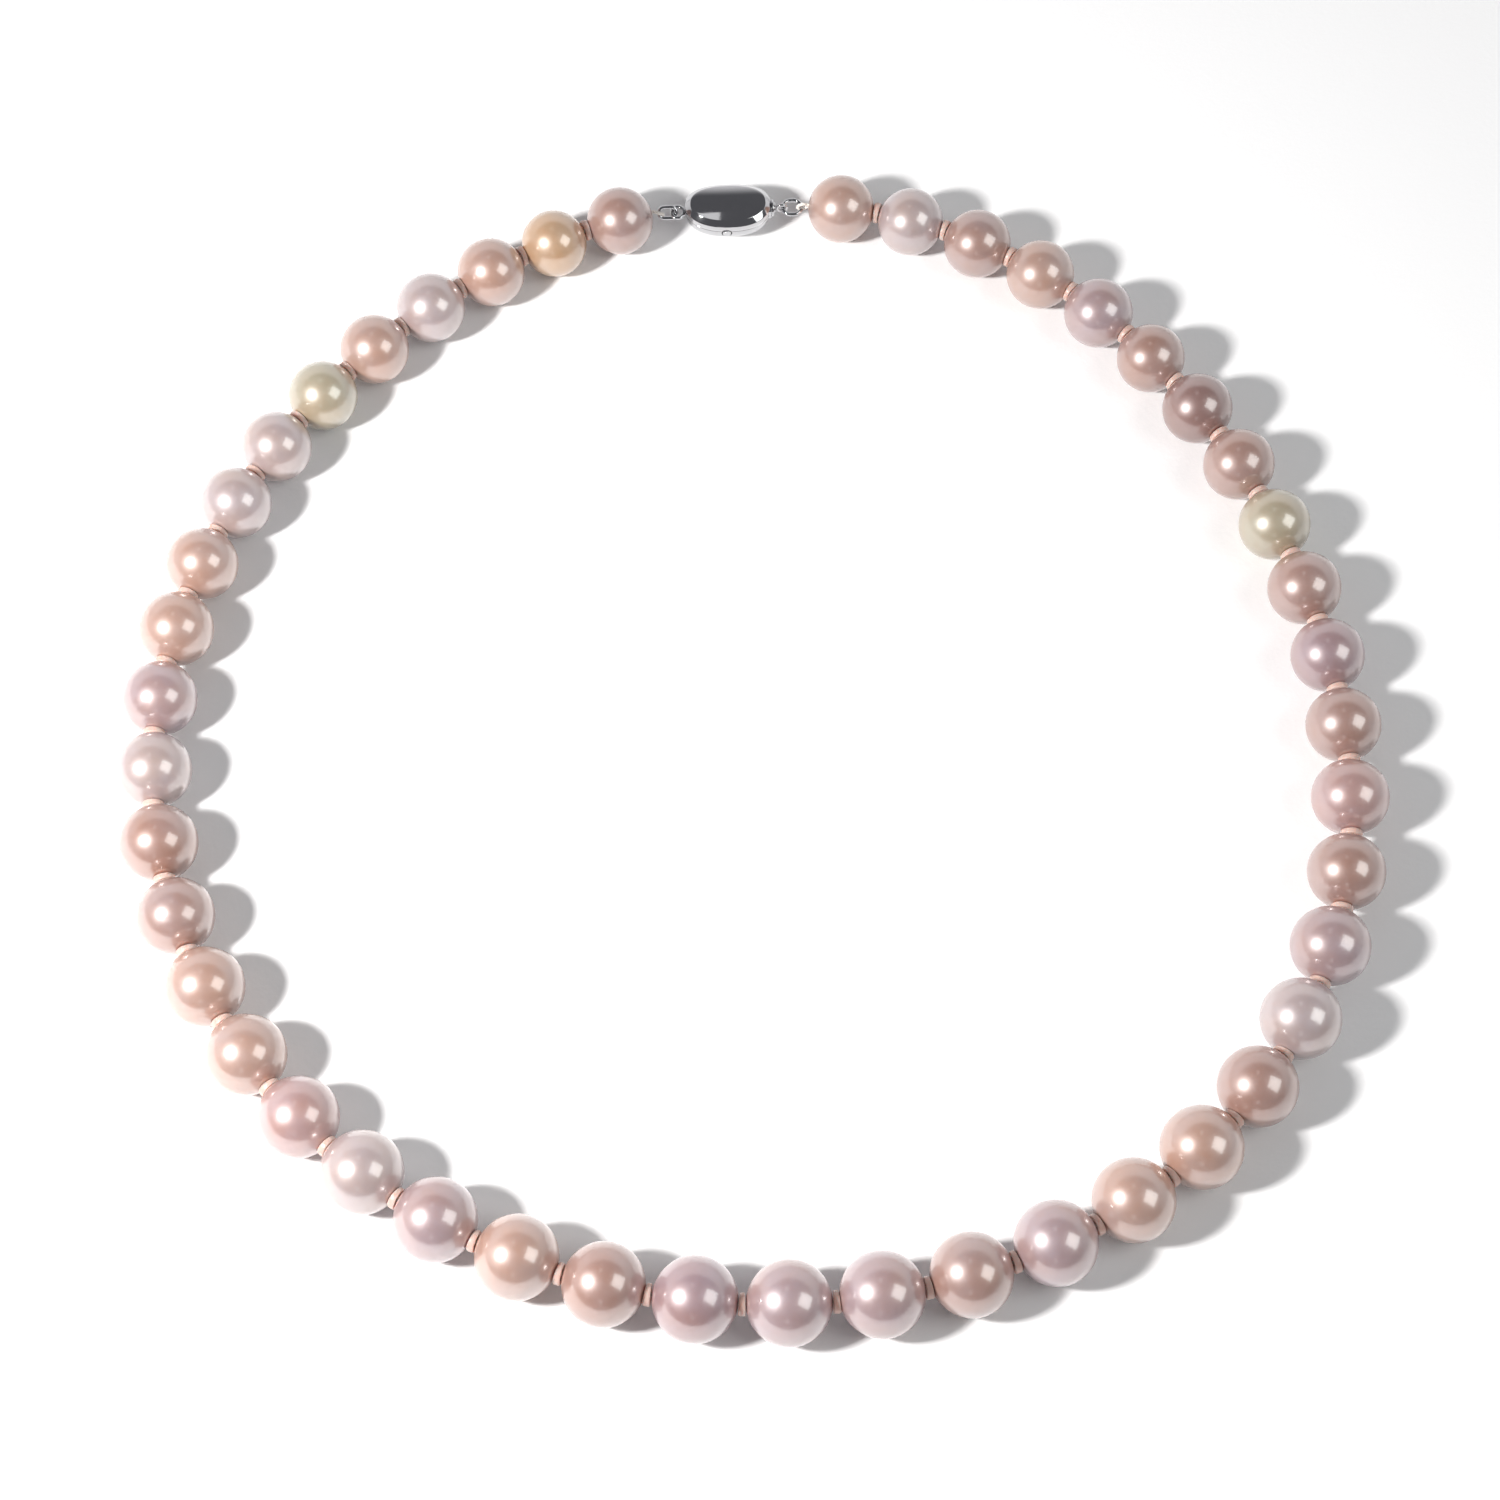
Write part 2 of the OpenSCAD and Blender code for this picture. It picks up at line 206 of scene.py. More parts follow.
class StageSettings(bpy.types.PropertyGroup):
    """The camera and the lights."""

    elevation: bpy.props.FloatProperty(
        name="Camera Elevation", description="Height of the camera over the horizon",
        default=math.radians(63.2), min=0.1, max=1.57, subtype="ANGLE")
    distance: bpy.props.FloatProperty(
        name="Camera Distance", description="Distance from the camera to the table's middle",
        default=0.467, min=0.2, max=3, unit="LENGTH")
    lens: bpy.props.FloatProperty(
        name="Focal Length", description="The lens's focal length", default=94.7, min=20, max=200)
    key: bpy.props.FloatProperty(
        name="Key Light", description="Power of the lamp on the left, in watts",
        default=2.6, min=0)
    fill: bpy.props.FloatProperty(
        name="Fill Light", description="Power of the soft box on the right, in watts",
        default=3.2, min=0)
    room: bpy.props.FloatProperty(
        name="Room", description="Brightness of the pale walls near the horizon",
        default=0.9, min=0)


# ------------------------ small helpers

def new_object(name, mesh):
    obj = bpy.data.objects.new(name, mesh)
    bpy.context.scene.collection.objects.link(obj)
    return obj


def finish_piece(obj, node, replaced=None):
    """Hands a finished mesh to the frame: it rides the node's body and takes its place."""
    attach(obj, BODY_OF[node])
    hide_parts(replaced or node)
    return obj


def mesh_from(name, build, material, smooth=True):
    """A new object whose mesh the build function fills."""
    bm = bmesh.new()
    build(bm)
    bmesh.ops.recalc_face_normals(bm, faces=bm.faces)
    mesh = bpy.data.meshes.new(name)
    bm.to_mesh(mesh)
    bm.free()
    for polygon in mesh.polygons:
        polygon.use_smooth = smooth
    mesh.materials.append(material)
    return new_object(name, mesh)


def apply_modifiers(obj):
    """Makes the modifiers' result the object's own mesh."""
    graph = bpy.context.evaluated_depsgraph_get()
    mesh = bpy.data.meshes.new_from_object(obj.evaluated_get(graph), depsgraph=graph)
    obj.modifiers.clear()
    old, obj.data = obj.data, mesh
    bpy.data.meshes.remove(old)
    return obj


def bridge_rings(bm, rings):
    """Quads between neighbouring rings of vertices."""
    for lower, upper in zip(rings, rings[1:]):
        for i in range(len(lower)):
            j = (i + 1) % len(lower)
            bm.faces.new((lower[i], lower[j], upper[j], upper[i]))


def full_turn(steps):
    """The angles of so many equal steps round a circle."""
    return (math.tau * i / steps for i in range(steps))


def stretched_to(size, middle):
    """What takes a cube of size 1 to a block of this size at this place."""
    return Matrix.Translation(middle) @ Matrix.Diagonal((*size, 1))


# ------------------------ node helpers

class Tree:
    """A short way to write a node tree: nodes are added in rows and joined by their sockets."""

    def __init__(self, tree):
        self.tree = tree
        self.column = 0

    def add(self, kind, settings=None, **inputs):
        node = self.tree.nodes.new(kind)
        node.location = (self.column * 180, 0)
        self.column += 1
        for key, value in (settings or {}).items():
            setattr(node, key, value)
        for key, value in inputs.items():
            self.plug(node, key, value)
        return node

    def plug(self, node, key, value):
        if key.startswith("in_"):
            socket = node.inputs[int(key[3:])]
        else:
            socket = node.inputs[key.replace("_", " ")]
        if isinstance(value, bpy.types.NodeSocket):
            self.tree.links.new(value, socket)
        else:
            socket.default_value = value

    def math(self, operation, a, b=0.0, c=0.0):
        return self.make("ShaderNodeMath", {"operation": operation}, in_0=a, in_1=b, in_2=c)

    def squares(self, x, y):
        return self.math("ADD", self.math("POWER", x, 2.0), self.math("POWER", y, 2.0))

    def vector(self, operation, a, b=None, scale=None):
        node = self.add("ShaderNodeVectorMath", {"operation": operation}, in_0=a)
        if b is not None:
            self.plug(node, "in_1", b)
        if scale is not None:
            self.plug(node, "Scale", scale)
        return node.outputs["Vector"]

    def make(self, kind, settings=None, **inputs):
        """Adds a node and gives its first output."""
        return self.add(kind, settings, **inputs).outputs[0]

    def ramp(self, value, start, end, low=0.0, high=1.0, kind="SMOOTHSTEP"):
        """Runs from low to high while the value runs from start to end."""
        return self.make("ShaderNodeMapRange", {"interpolation_type": kind}, in_0=value,
                         in_1=start, in_2=end, in_3=low, in_4=high)

    def noise(self, place, scale, detail, roughness=0.5, seed=None):
        """Plain noise, or with a seed the noise of its own that the seed picks."""
        settings = {"noise_dimensions": "3D" if seed is None else "4D"}
        node = self.add("ShaderNodeTexNoise", settings, Vector=place, Scale=scale, Detail=detail,
                        Roughness=roughness)
        if seed is not None:
            self.plug(node, "W", seed)
        return node.outputs[0]

    def mix(self, share, first, second):
        node = self.add("ShaderNodeMix", {"data_type": "RGBA"}, in_0=share, in_6=first, in_7=second)
        return node.outputs[2]

    def bump(self, shader, strength, distance, height):
        self.plug(shader, "Normal", self.make(
            "ShaderNodeBump", Strength=strength, Distance=distance, Height=height))

    def object_place(self):
        return self.add("ShaderNodeTexCoord").outputs["Object"]

    def position(self):
        return self.make("GeometryNodeInputPosition")

    def parts(self, vector):
        return self.add("ShaderNodeSeparateXYZ", Vector=vector).outputs

    def join(self, x, y, z=0.0):
        return self.make("ShaderNodeCombineXYZ", X=x, Y=y, Z=z)

    def circle(self, radius, steps):
        return self.make("GeometryNodeCurvePrimitiveCircle", {"mode": "RADIUS"},
                         Resolution=steps, Radius=radius)


SOCKETS = {
    "float": "NodeSocketFloat",
    "vector": "NodeSocketVector",
    "material": "NodeSocketMaterial",
    "geometry": "NodeSocketGeometry",
}


def new_geometry_tree(name, **inputs):
    """A geometry tree with named inputs; returns it with those inputs' sockets."""
    group = bpy.data.node_groups.new(name, "GeometryNodeTree")
    group.interface.new_socket(name="Geometry", in_out="OUTPUT", socket_type=SOCKETS["geometry"])
    for key, kind in inputs.items():
        group.interface.new_socket(
            name=key.replace("_", " "), in_out="INPUT", socket_type=SOCKETS[kind])
    tree = Tree(group)
    source = tree.add("NodeGroupInput")
    return tree, source.outputs


def end_geometry_tree(tree, geometry, material):
    """Every tree ends alike: real geometry, smooth, with its material."""
    real = tree.make("GeometryNodeRealizeInstances", Geometry=geometry)
    smooth = tree.make("GeometryNodeSetShadeSmooth", Geometry=real)
    painted = tree.make("GeometryNodeSetMaterial", Geometry=smooth, Material=material)
    output = tree.add("NodeGroupOutput")
    tree.tree.links.new(painted, output.inputs[0])
    return tree.tree


def grow(name, group, mesh=None, **values):
    """A plain mesh object: the tree's result with these values."""
    obj = new_object(name, mesh or bpy.data.meshes.new(name))
    modifier = obj.modifiers.new("Shape", "NODES")
    modifier.node_group = group
    keys = {item.name: item.identifier for item in group.interface.items_tree
            if item.in_out == "INPUT"}
    for key, value in values.items():
        modifier[keys[key.replace("_", " ")]] = value
    graph = bpy.context.evaluated_depsgraph_get()
    result = bpy.data.meshes.new_from_object(obj.evaluated_get(graph), depsgraph=graph)
    result.name = name
    obj.modifiers.remove(modifier)
    obj.data = result
    return obj


# ------------------------ materials

def new_material(name):
    material = bpy.data.materials.new(name)
    material.use_nodes = True
    tree = Tree(material.node_tree)
    shader = material.node_tree.nodes["Principled BSDF"]
    return material, tree, shader


def set_sockets(shader, **values):
    for key, value in values.items():
        shader.inputs[key.replace("_", " ")].default_value = value


# Body colour and overtone of each tone of nacre.
NACRE_TONES = {
    "W": ((0.43, 0.31, 0.275), (0.42, 0.35, 0.37)),
    "C": ((0.40, 0.31, 0.20), (0.38, 0.35, 0.26)),
    "P": ((0.45, 0.245, 0.17), (0.41, 0.28, 0.25)),
    "O": ((0.50, 0.28, 0.13), (0.45, 0.31, 0.21)),
    "K": ((0.42, 0.22, 0.18), (0.40, 0.27, 0.28)),
    "R": ((0.34, 0.17, 0.12), (0.36, 0.23, 0.21)),
    "L": ((0.37, 0.22, 0.195), (0.36, 0.27, 0.30)),
    "V": ((0.33, 0.18, 0.165), (0.33, 0.23, 0.26)),
    "M": ((0.35, 0.18, 0.13), (0.35, 0.24, 0.23)),
    "T": ((0.23, 0.105, 0.08), (0.26, 0.15, 0.14)),
}


def make_nacre(letter):
    """Nacre: a satin body under a clear gloss, mottled between body colour and overtone."""
    body, overtone = NACRE_TONES[letter]
    material, tree, shader = new_material(f"nacre_{letter}")
    place = tree.add("ShaderNodeAttribute", {"attribute_name": "nacre_place"}).outputs["Vector"]
    clouds = tree.noise(place, 0.9, 2.0)
    mottle = tree.noise(place, 3.5, 2.0)
    blend = tree.math("MULTIPLY_ADD", clouds, 1.6, -0.3)
    blend = tree.math("ADD", blend, tree.math("MULTIPLY_ADD", mottle, 0.4, -0.2))
    tree.plug(shader, "Base_Color", tree.mix(blend, (*body, 1), (*overtone, 1)))
    # growth rings run round the drill axis, and are only seen in the gloss
    wander = tree.math("MULTIPLY_ADD", mottle, 0.25, tree.parts(place)["Z"])
    rings = tree.math("SINE", tree.math("MULTIPLY", wander, 46.0))
    tree.bump(shader, 0.02, 0.03 * MM, tree.math("MULTIPLY", rings, 0.5))
    tree.plug(shader, "Roughness", tree.math("MULTIPLY_ADD", mottle, 0.10, 0.33))
    set_sockets(
        shader, Metallic=0.12, IOR=2.3, Coat_Weight=1.0, Coat_Roughness=0.13, Coat_IOR=1.9,
        Subsurface_Weight=0.1, Subsurface_Scale=0.0008, Subsurface_Radius=(1.0, 0.6, 0.45))
    return material


TARNISH = 0.86           # how bright the tarnished places are beside the bright ones


def make_silver(name, colour, roughness, wear):
    """Polished silver with fine hairline wear that differs from place to place."""
    material, tree, shader = new_material(name)
    place = tree.object_place()
    haze = tree.noise(place, 600.0, 4.0, 0.6)
    stretched = tree.make("ShaderNodeMapping", Vector=place, Scale=(900, 9000, 9000),
                          Rotation=(0, 0, 0.5))
    hairs = tree.noise(stretched, 1.0, 3.0)
    tree.plug(shader, "Roughness", tree.math("MULTIPLY_ADD", haze, wear, roughness))
    tree.bump(shader, 0.04, 0.05 * MM, tree.math("MULTIPLY_ADD", hairs, 0.4, haze))
    darker = [part * TARNISH for part in colour]
    tarnish = tree.mix(tree.math("MULTIPLY_ADD", haze, 0.8, -0.2), (*colour, 1), (*darker, 1))
    tree.plug(shader, "Base_Color", tarnish)
    set_sockets(shader, Metallic=1.0, Specular_IOR_Level=0.5)
    return material


def make_silk():
    """Undyed twisted silk: soft sheen and fine fibres along the twist."""
    material, tree, shader = new_material("silk")
    place = tree.object_place()
    shade = tree.noise(place, 1500.0, 2.0)
    colour = tree.mix(shade, (0.93, 0.89, 0.83, 1), (0.80, 0.74, 0.68, 1))
    tree.plug(shader, "Base_Color", colour)
    tree.bump(shader, 0.5, 0.03 * MM, tree.noise(place, 9000.0, 4.0, 0.7))
    set_sockets(shader, Roughness=0.55, Sheen_Weight=0.6, Sheen_Roughness=0.4)
    return material


def make_silicone():
    """Soft clear silicone with a peach cast and a faint moulded texture."""
    material, tree, shader = new_material("clear_silicone")
    cloud = tree.noise(tree.object_place(), 900.0, 3.0)
    colour = tree.mix(cloud, (0.76, 0.55, 0.49, 1), (0.70, 0.46, 0.40, 1))
    tree.plug(shader, "Base_Color", colour)
    tree.plug(shader, "Roughness", tree.math("MULTIPLY_ADD", cloud, 0.2, 0.22))
    set_sockets(shader, IOR=1.41, Transmission_Weight=0.15, Subsurface_Weight=1.0,
                Subsurface_Scale=0.001, Subsurface_Radius=(1.0, 0.7, 0.6))
    return material


def make_table():
    """Matt white board with a fine grain."""
    material, tree, shader = new_material("pale_table")
    tree.bump(shader, 0.12, 0.2 * MM, tree.noise(tree.object_place(), 1400.0, 3.0))
    set_sockets(shader, Base_Color=(0.92, 0.92, 0.925, 1), Roughness=0.7, Specular_IOR_Level=0.25)
    return material


MATERIALS = {}


def material_of(name):
    """Each finish is made once, when a piece first needs it."""
    if name not in MATERIALS:
        silver = tuple(bpy.context.scene.necklace_clasp.silver)
        makers = {
            "silver": lambda: make_silver("polished_silver", silver, 0.035, 0.05),
            "spring": lambda: make_silver("rolled_silver", silver, 0.22, 0.12),
            "silk": make_silk,
            "silicone": make_silicone,
            "table": make_table,
        }
        MATERIALS[name] = makers[name]() if name in makers else make_nacre(name)
    return MATERIALS[name]


# ------------------------ pearls

BALL_SIDES = 96
BALL_ARC = 56            # steps from hole edge to hole edge
HOLE_SHARE = 0.11        # the hole's radius as a share of the pearl's
HOLE_EDGE = 0.02         # how softly the hole's edge turns inwards


def drilled_ball():
    """A ball of radius 1 with a hole along Z, its edges slightly rounded."""
    edge = math.asin(HOLE_SHARE)
    first = edge + HOLE_EDGE
    profile = [(math.sin(a), math.cos(a)) for a in
               (first + (math.pi - 2 * first) * i / BALL_ARC for i in range(BALL_ARC + 1))]
    mouth, depth = HOLE_SHARE + HOLE_EDGE * 0.3, math.cos(edge)
    lip, shoulder = depth - HOLE_EDGE * 0.3, depth - HOLE_EDGE * 1.5
    bore = [(mouth, -lip), *((HOLE_SHARE, z) for z in (-shoulder, -0.5, 0.0, 0.5, shoulder)),
            (mouth, lip)]
    bm = bmesh.new()
    rings = [[bm.verts.new((r * math.cos(t), r * math.sin(t), z)) for t in full_turn(BALL_SIDES)]
             for r, z in profile + bore]
    bridge_rings(bm, rings + rings[:1])
    bmesh.ops.recalc_face_normals(bm, faces=bm.faces)
    mesh = bpy.data.meshes.new("drilled_ball")
    bm.to_mesh(mesh)
    bm.free()
    return mesh


def pearl_tree():
    """Swells, dents, rings, flattens and places the drilled ball."""
    tree, given = new_geometry_tree(
        "Drilled Pearl", Geometry="geometry", Diameter="float", Flattening="float",
        Unevenness="float", Pitting="float", Ring_Depth="float", Seed="float", Spin="float",
        Drill_Axis="vector", Centre="vector", Material="material")
    position = tree.position()
    radial = tree.vector("NORMALIZE", position)
    # how far a point is out of the hole: nothing inside it moves
    x, y, z = tree.parts(position)
    spread = tree.math("SQRT", tree.squares(x, y))
    free = tree.ramp(spread, HOLE_SHARE * 1.02, HOLE_SHARE * 2.5)
    swell = tree.noise(radial, 0.85, 1.0, 0.4, seed=given["Seed"])
    swell = tree.math("MULTIPLY", tree.math("SUBTRACT", swell, 0.5), given["Unevenness"])
    dents = tree.ramp(tree.noise(radial, 2.6, 2.0, seed=given["Seed"]), 0.36, 0.24)
    dents = tree.math("MULTIPLY", tree.math("MULTIPLY", dents, given["Pitting"]), -1.0)
    # two or three growth rings near one end
    where = tree.math("MULTIPLY_ADD", z, 17.0, given["Seed"])
    ring = tree.math("MULTIPLY", tree.math("SINE", where), given["Ring Depth"])
    ring = tree.math("MULTIPLY", ring, tree.ramp(z, 0.25, 0.7))
    lift = tree.math("MULTIPLY", tree.math("ADD", tree.math("ADD", swell, dents), ring), free)
    moved = tree.make("GeometryNodeSetPosition", Geometry=given["Geometry"],
                      Offset=tree.vector("SCALE", radial, scale=lift))
    apart = tree.join(given["Seed"], given["Seed"])
    kept = tree.make("GeometryNodeStoreNamedAttribute",
                     {"data_type": "FLOAT_VECTOR", "domain": "POINT"}, Geometry=moved,
                     Name="nacre_place", Value=tree.vector("ADD", position, apart))
    radius = tree.math("MULTIPLY", given["Diameter"], 0.5)
    length = tree.math("MULTIPLY", radius, tree.math("SUBTRACT", 1.0, given["Flattening"]))
    spun = tree.make("FunctionNodeEulerToRotation", Euler=tree.join(0.0, 0.0, given["Spin"]))
    turned = tree.add("FunctionNodeAlignRotationToVector", {"axis": "Z"},
                      Rotation=spun, Vector=given["Drill Axis"]).outputs[0]
    placed = tree.make("GeometryNodeTransform", Geometry=kept,
                       Translation=given["Centre"], Rotation=turned,
                       Scale=tree.join(radius, radius, length))
    return end_geometry_tree(tree, placed, given["Material"])


SEED_STEP = 7.31         # keeps neighbouring pearls' swellings apart


class NECKLACE_OT_pearls(bpy.types.Operator):
    """Grow the graduated pearls, each a little different"""

    bl_idname = "necklace.pearls"
    bl_label = "Pearls"

    def execute(self, context):
        look = context.scene.necklace_pearls
        group, ball = pearl_tree(), drilled_ball()
        for number, (centre, diameter) in PEARLS.items():
            seed = number * SEED_STEP
            squash = 0.4 + 1.2 * (math.sin(seed) * 0.5 + 0.5)
            obj = grow(
                pearl_name(number) + "_nacre", group, ball.copy(),
                Diameter=diameter * (1 + look.fullness), Flattening=look.flattening * squash,
                Unevenness=look.unevenness, Pitting=look.pitting,
                Ring_Depth=look.ring_depth * max(0.0, math.sin(seed * 1.7)), Seed=seed, Spin=seed,
                Drill_Axis=GAPS[number] - GAPS[number - 1], Centre=centre,
                Material=material_of(look.tones[number - 1]))
            finish_piece(obj, pearl_name(number))
        bpy.data.meshes.remove(ball)
        return {"FINISHED"}


# ------------------------ spacers

SPACER_HOLE = 0.95 * MM
BAND_FULLNESS = 0.5      # 1 is a round section, and less is fuller


def spacer_tree():
    """A soft ring whose hollow faces follow the two pearls that press on it."""
    tree, given = new_geometry_tree(
        "Spacer Ring", Outer="float", Hole="float", Thickness="float", Pearl="float",
        Wedge="float", Axis="vector", Outwards="vector", Centre="vector", Material="material")
    half = tree.math("MULTIPLY", given["Thickness"], 0.5)
    width = tree.math("MULTIPLY", tree.math("SUBTRACT", given["Outer"], given["Hole"]), 0.25)
    middle = tree.math("MULTIPLY", tree.math("ADD", given["Outer"], given["Hole"]), 0.25)
    # the band's section is a circle pulled flat, with full edges
    across, up = (tree.math("MULTIPLY", tree.math("SIGN", part), tree.math(
        "POWER", tree.math("ABSOLUTE", part), BAND_FULLNESS))
        for part in tree.parts(tree.position())[:2])
    section = tree.make("GeometryNodeSetPosition", Geometry=tree.circle(1.0, 32),
                        Position=tree.join(tree.math("MULTIPLY", across, width),
                                          tree.math("MULTIPLY", up, half)))
    ring = tree.make("GeometryNodeCurveToMesh", Curve=tree.circle(middle, 64),
                     Profile_Curve=section)
    # it thickens outwards with the pearls' round, and away from the side the strand bends to
    x, y, z = tree.parts(tree.position())
    flare = tree.math("DIVIDE", tree.squares(x, y), given["Pearl"])
    lean = tree.math("MULTIPLY", x, given["Wedge"])
    gain = tree.math("DIVIDE", tree.math("ADD", tree.math("ADD", half, flare), lean), half)
    shaped = tree.make("GeometryNodeSetPosition", Geometry=ring,
                       Position=tree.join(x, y, tree.math("MULTIPLY", z, gain)))
    turned = tree.add("FunctionNodeAlignRotationToVector", {"axis": "Z"},
                      Vector=given["Axis"]).outputs[0]
    turned = tree.add("FunctionNodeAlignRotationToVector", {"axis": "X", "pivot_axis": "Z"},
                      Rotation=turned, Vector=given["Outwards"]).outputs[0]
    placed = tree.make("GeometryNodeTransform", Geometry=shaped,
                       Translation=given["Centre"], Rotation=turned)
    return end_geometry_tree(tree, placed, given["Material"])


class NECKLACE_OT_spacers(bpy.types.Operator):
    """Put a soft clear ring between each two pearls"""

    bl_idname = "necklace.spacers"
    bl_label = "Spacer Rings"

    def execute(self, context):
        look = context.scene.necklace_stringing
        group = spacer_tree()
        for gap in range(1, PEARL_COUNT):
            body = gap if gap <= FRONT_PEARL else gap + 1
            before = (GAPS[gap] - GAPS[gap - 1]).normalized()
            after = (GAPS[gap + 1] - GAPS[gap]).normalized()
            pearl = max(PEARLS[gap][1], PEARLS[gap + 1][1])
            obj = grow(f"spacer_{gap:02d}", group, Outer=look.spacer_outer, Hole=SPACER_HOLE,
                       Thickness=look.spacer_thick, Pearl=pearl, Wedge=before.angle(after) / 2,
                       Axis=before + after, Outwards=before - after, Centre=GAPS[gap],
                       Material=material_of("silicone"))
            finish_piece(obj, pearl_name(body))
        return {"FINISHED"}


# ------------------------ thread

PLIES = 3
STEPS_PER_METRE = 7000.0
END_SETBACK = 0.25 * MM  # the thread ends inside the outer pearls, where the loops begin
CUT_END = 0.38 * MM      # the front gap's cut lies between the spacer and the next pearl
CUT_START = 0.44 * MM
OVERLAP = 0.02 * MM      # how far each pearl's stretch of thread runs on past its gap's centre
LOOP_THREAD = 0.4 * MM
LOOP_WIDTH = 0.94 * MM
LOOP_PLAY = 0.04 * MM    # between the loop and the ring's wire
LOOP_REACH = 0.28 * MM   # how far the loop goes into the pearl


def thread_tree():
    """Silk plies twisted round a path that the given mesh's edges draw."""
    tree, given = new_geometry_tree(
        "Twisted Thread", Geometry="geometry", Diameter="float", Turns="float",
        Material="material")
    path = tree.make("GeometryNodeMeshToCurve", Mesh=given["Geometry"])
    length = tree.make("GeometryNodeCurveLength", Curve=path)
    steps = tree.math("MAXIMUM", tree.math("MULTIPLY", length, STEPS_PER_METRE), 12.0)
    fine = tree.make("GeometryNodeResampleCurve", {"mode": "COUNT"}, Curve=path, Count=steps)
    upright = tree.make("GeometryNodeSetCurveNormal", Curve=fine)
    tangent = tree.make("GeometryNodeInputTangent")
    normal = tree.make("GeometryNodeInputNormal")
    side = tree.vector("CROSS_PRODUCT", tangent, normal)
    run = tree.add("GeometryNodeSplineParameter").outputs["Length"]
    twist = tree.math("MULTIPLY", given["Turns"], math.tau / MM)
    reach = tree.math("MULTIPLY", given["Diameter"], 0.235)
    section = tree.circle(tree.math("MULTIPLY", given["Diameter"], 0.27), 8)
    plies = []
    for ply in range(PLIES):
        angle = tree.math("MULTIPLY_ADD", run, twist, math.tau * ply / PLIES)
        sideways, upwards = (tree.math("MULTIPLY", tree.math(kind, angle), reach)
                             for kind in ("COSINE", "SINE"))
        offset = tree.vector("ADD", tree.vector("SCALE", normal, scale=sideways),
                             tree.vector("SCALE", side, scale=upwards))
        moved = tree.make("GeometryNodeSetPosition", Geometry=upright, Offset=offset)
        ply_mesh = tree.make("GeometryNodeCurveToMesh", Curve=moved,
                             Profile_Curve=section, Fill_Caps=True)
        plies.append(ply_mesh)
    joined = tree.add("GeometryNodeJoinGeometry")
    for ply in plies:
        tree.tree.links.new(ply, joined.inputs[0])
    return end_geometry_tree(tree, joined.outputs[0], given["Material"])


def path_mesh(name, points, closed=False):
    """A mesh of edges only, through the points."""
    count = len(points)
    edges = [(i, (i + 1) % count) for i in range(count if closed else count - 1)]
    mesh = bpy.data.meshes.new(name)
    mesh.from_pydata([tuple(p) for p in points], edges, [])
    return mesh


def stadium(start, end, across, width, steps=48):
    """Points round a loop whose round ends reach from start to end."""
    along = (end - start).normalized()
    radius = width / 2
    straight = (end - start).length / 2 - radius
    middle = (start + end) / 2
    points = []
    for i in range(steps):
        turn = math.tau * (i + 0.5) / steps
        shift = straight if math.cos(turn) > 0 else -straight
        points.append(middle + along * (radius * math.cos(turn) + shift)
                      + across * (radius * math.sin(turn)))
    return points


class NECKLACE_OT_thread(bpy.types.Operator):
    """Run the twisted silk through the pearls and tie its end loops"""

    bl_idname = "necklace.thread"
    bl_label = "Silk Thread"

    def execute(self, context):
        look = context.scene.necklace_stringing
        group = thread_tree()
        silk = material_of("silk")
        for number in PEARLS:
            start, end = GAPS[number - 1], GAPS[number]
            way = (end - start).normalized()
            if number == 1:
                start = start + way * END_SETBACK
            if number == PEARL_COUNT:
                end = end - way * END_SETBACK
            if number == FRONT_PEARL:
                end = end + way * CUT_END
            if number == FRONT_PEARL + 1:
                start = start + way * CUT_START
            mesh = path_mesh(f"thread_{number:02d}", [start - way * OVERLAP, end + way * OVERLAP])
            obj = grow(mesh.name, group, mesh, Diameter=look.thread, Turns=look.thread_turns,
                       Material=silk)
            finish_piece(obj, pearl_name(number), "thread")
        self.tie_loop(group, "right_end_loop", "right_jump_ring", GAPS[0], 1, 0.0)
        self.tie_loop(group, "left_end_loop", "left_jump_ring", GAPS[PEARL_COUNT], -1,
                      JUMP_RING_TILT)
        return {"FINISHED"}

    def tie_loop(self, group, node, ring, pivot, side, tilt):
        """The thread's end, doubled back round the jump ring, square to the ring's wire."""
        low, high = clasp_box(ring)
        wire_way = Vector((0, math.cos(tilt), math.sin(tilt)))
        ring_end = (high if side > 0 else low).x
        at = Vector((ring_end - side * RING_WIRE / 2, 0, (low.z + high.z) / 2))
        hole = CLASP.inverted() @ pivot
        hole = Vector((hole.x + side * LOOP_REACH, 0, hole.z))
        way = (hole - at).normalized()
        slant = wire_way.dot(way)
        square = math.sqrt(1 - slant ** 2)
        half = LOOP_THREAD / 2
        hang = (RING_WIRE / 2 + half * slant) / square + half + LOOP_PLAY
        across = wire_way.cross(way) / square
        route = stadium(at - way * hang, hole - way * half, across, LOOP_WIDTH)
        mesh = path_mesh(node + "_silk", [CLASP @ point for point in route], closed=True)
        obj = grow(mesh.name, group, mesh, Diameter=LOOP_THREAD, Turns=0.8,
                   Material=material_of("silk"))
        finish_piece(obj, node)


# ------------------------ rings and eyes

SOLDER_AT = 0.22         # the soldered joint's place and reach, as shares of the way round
SOLDER_SHARE = 0.035


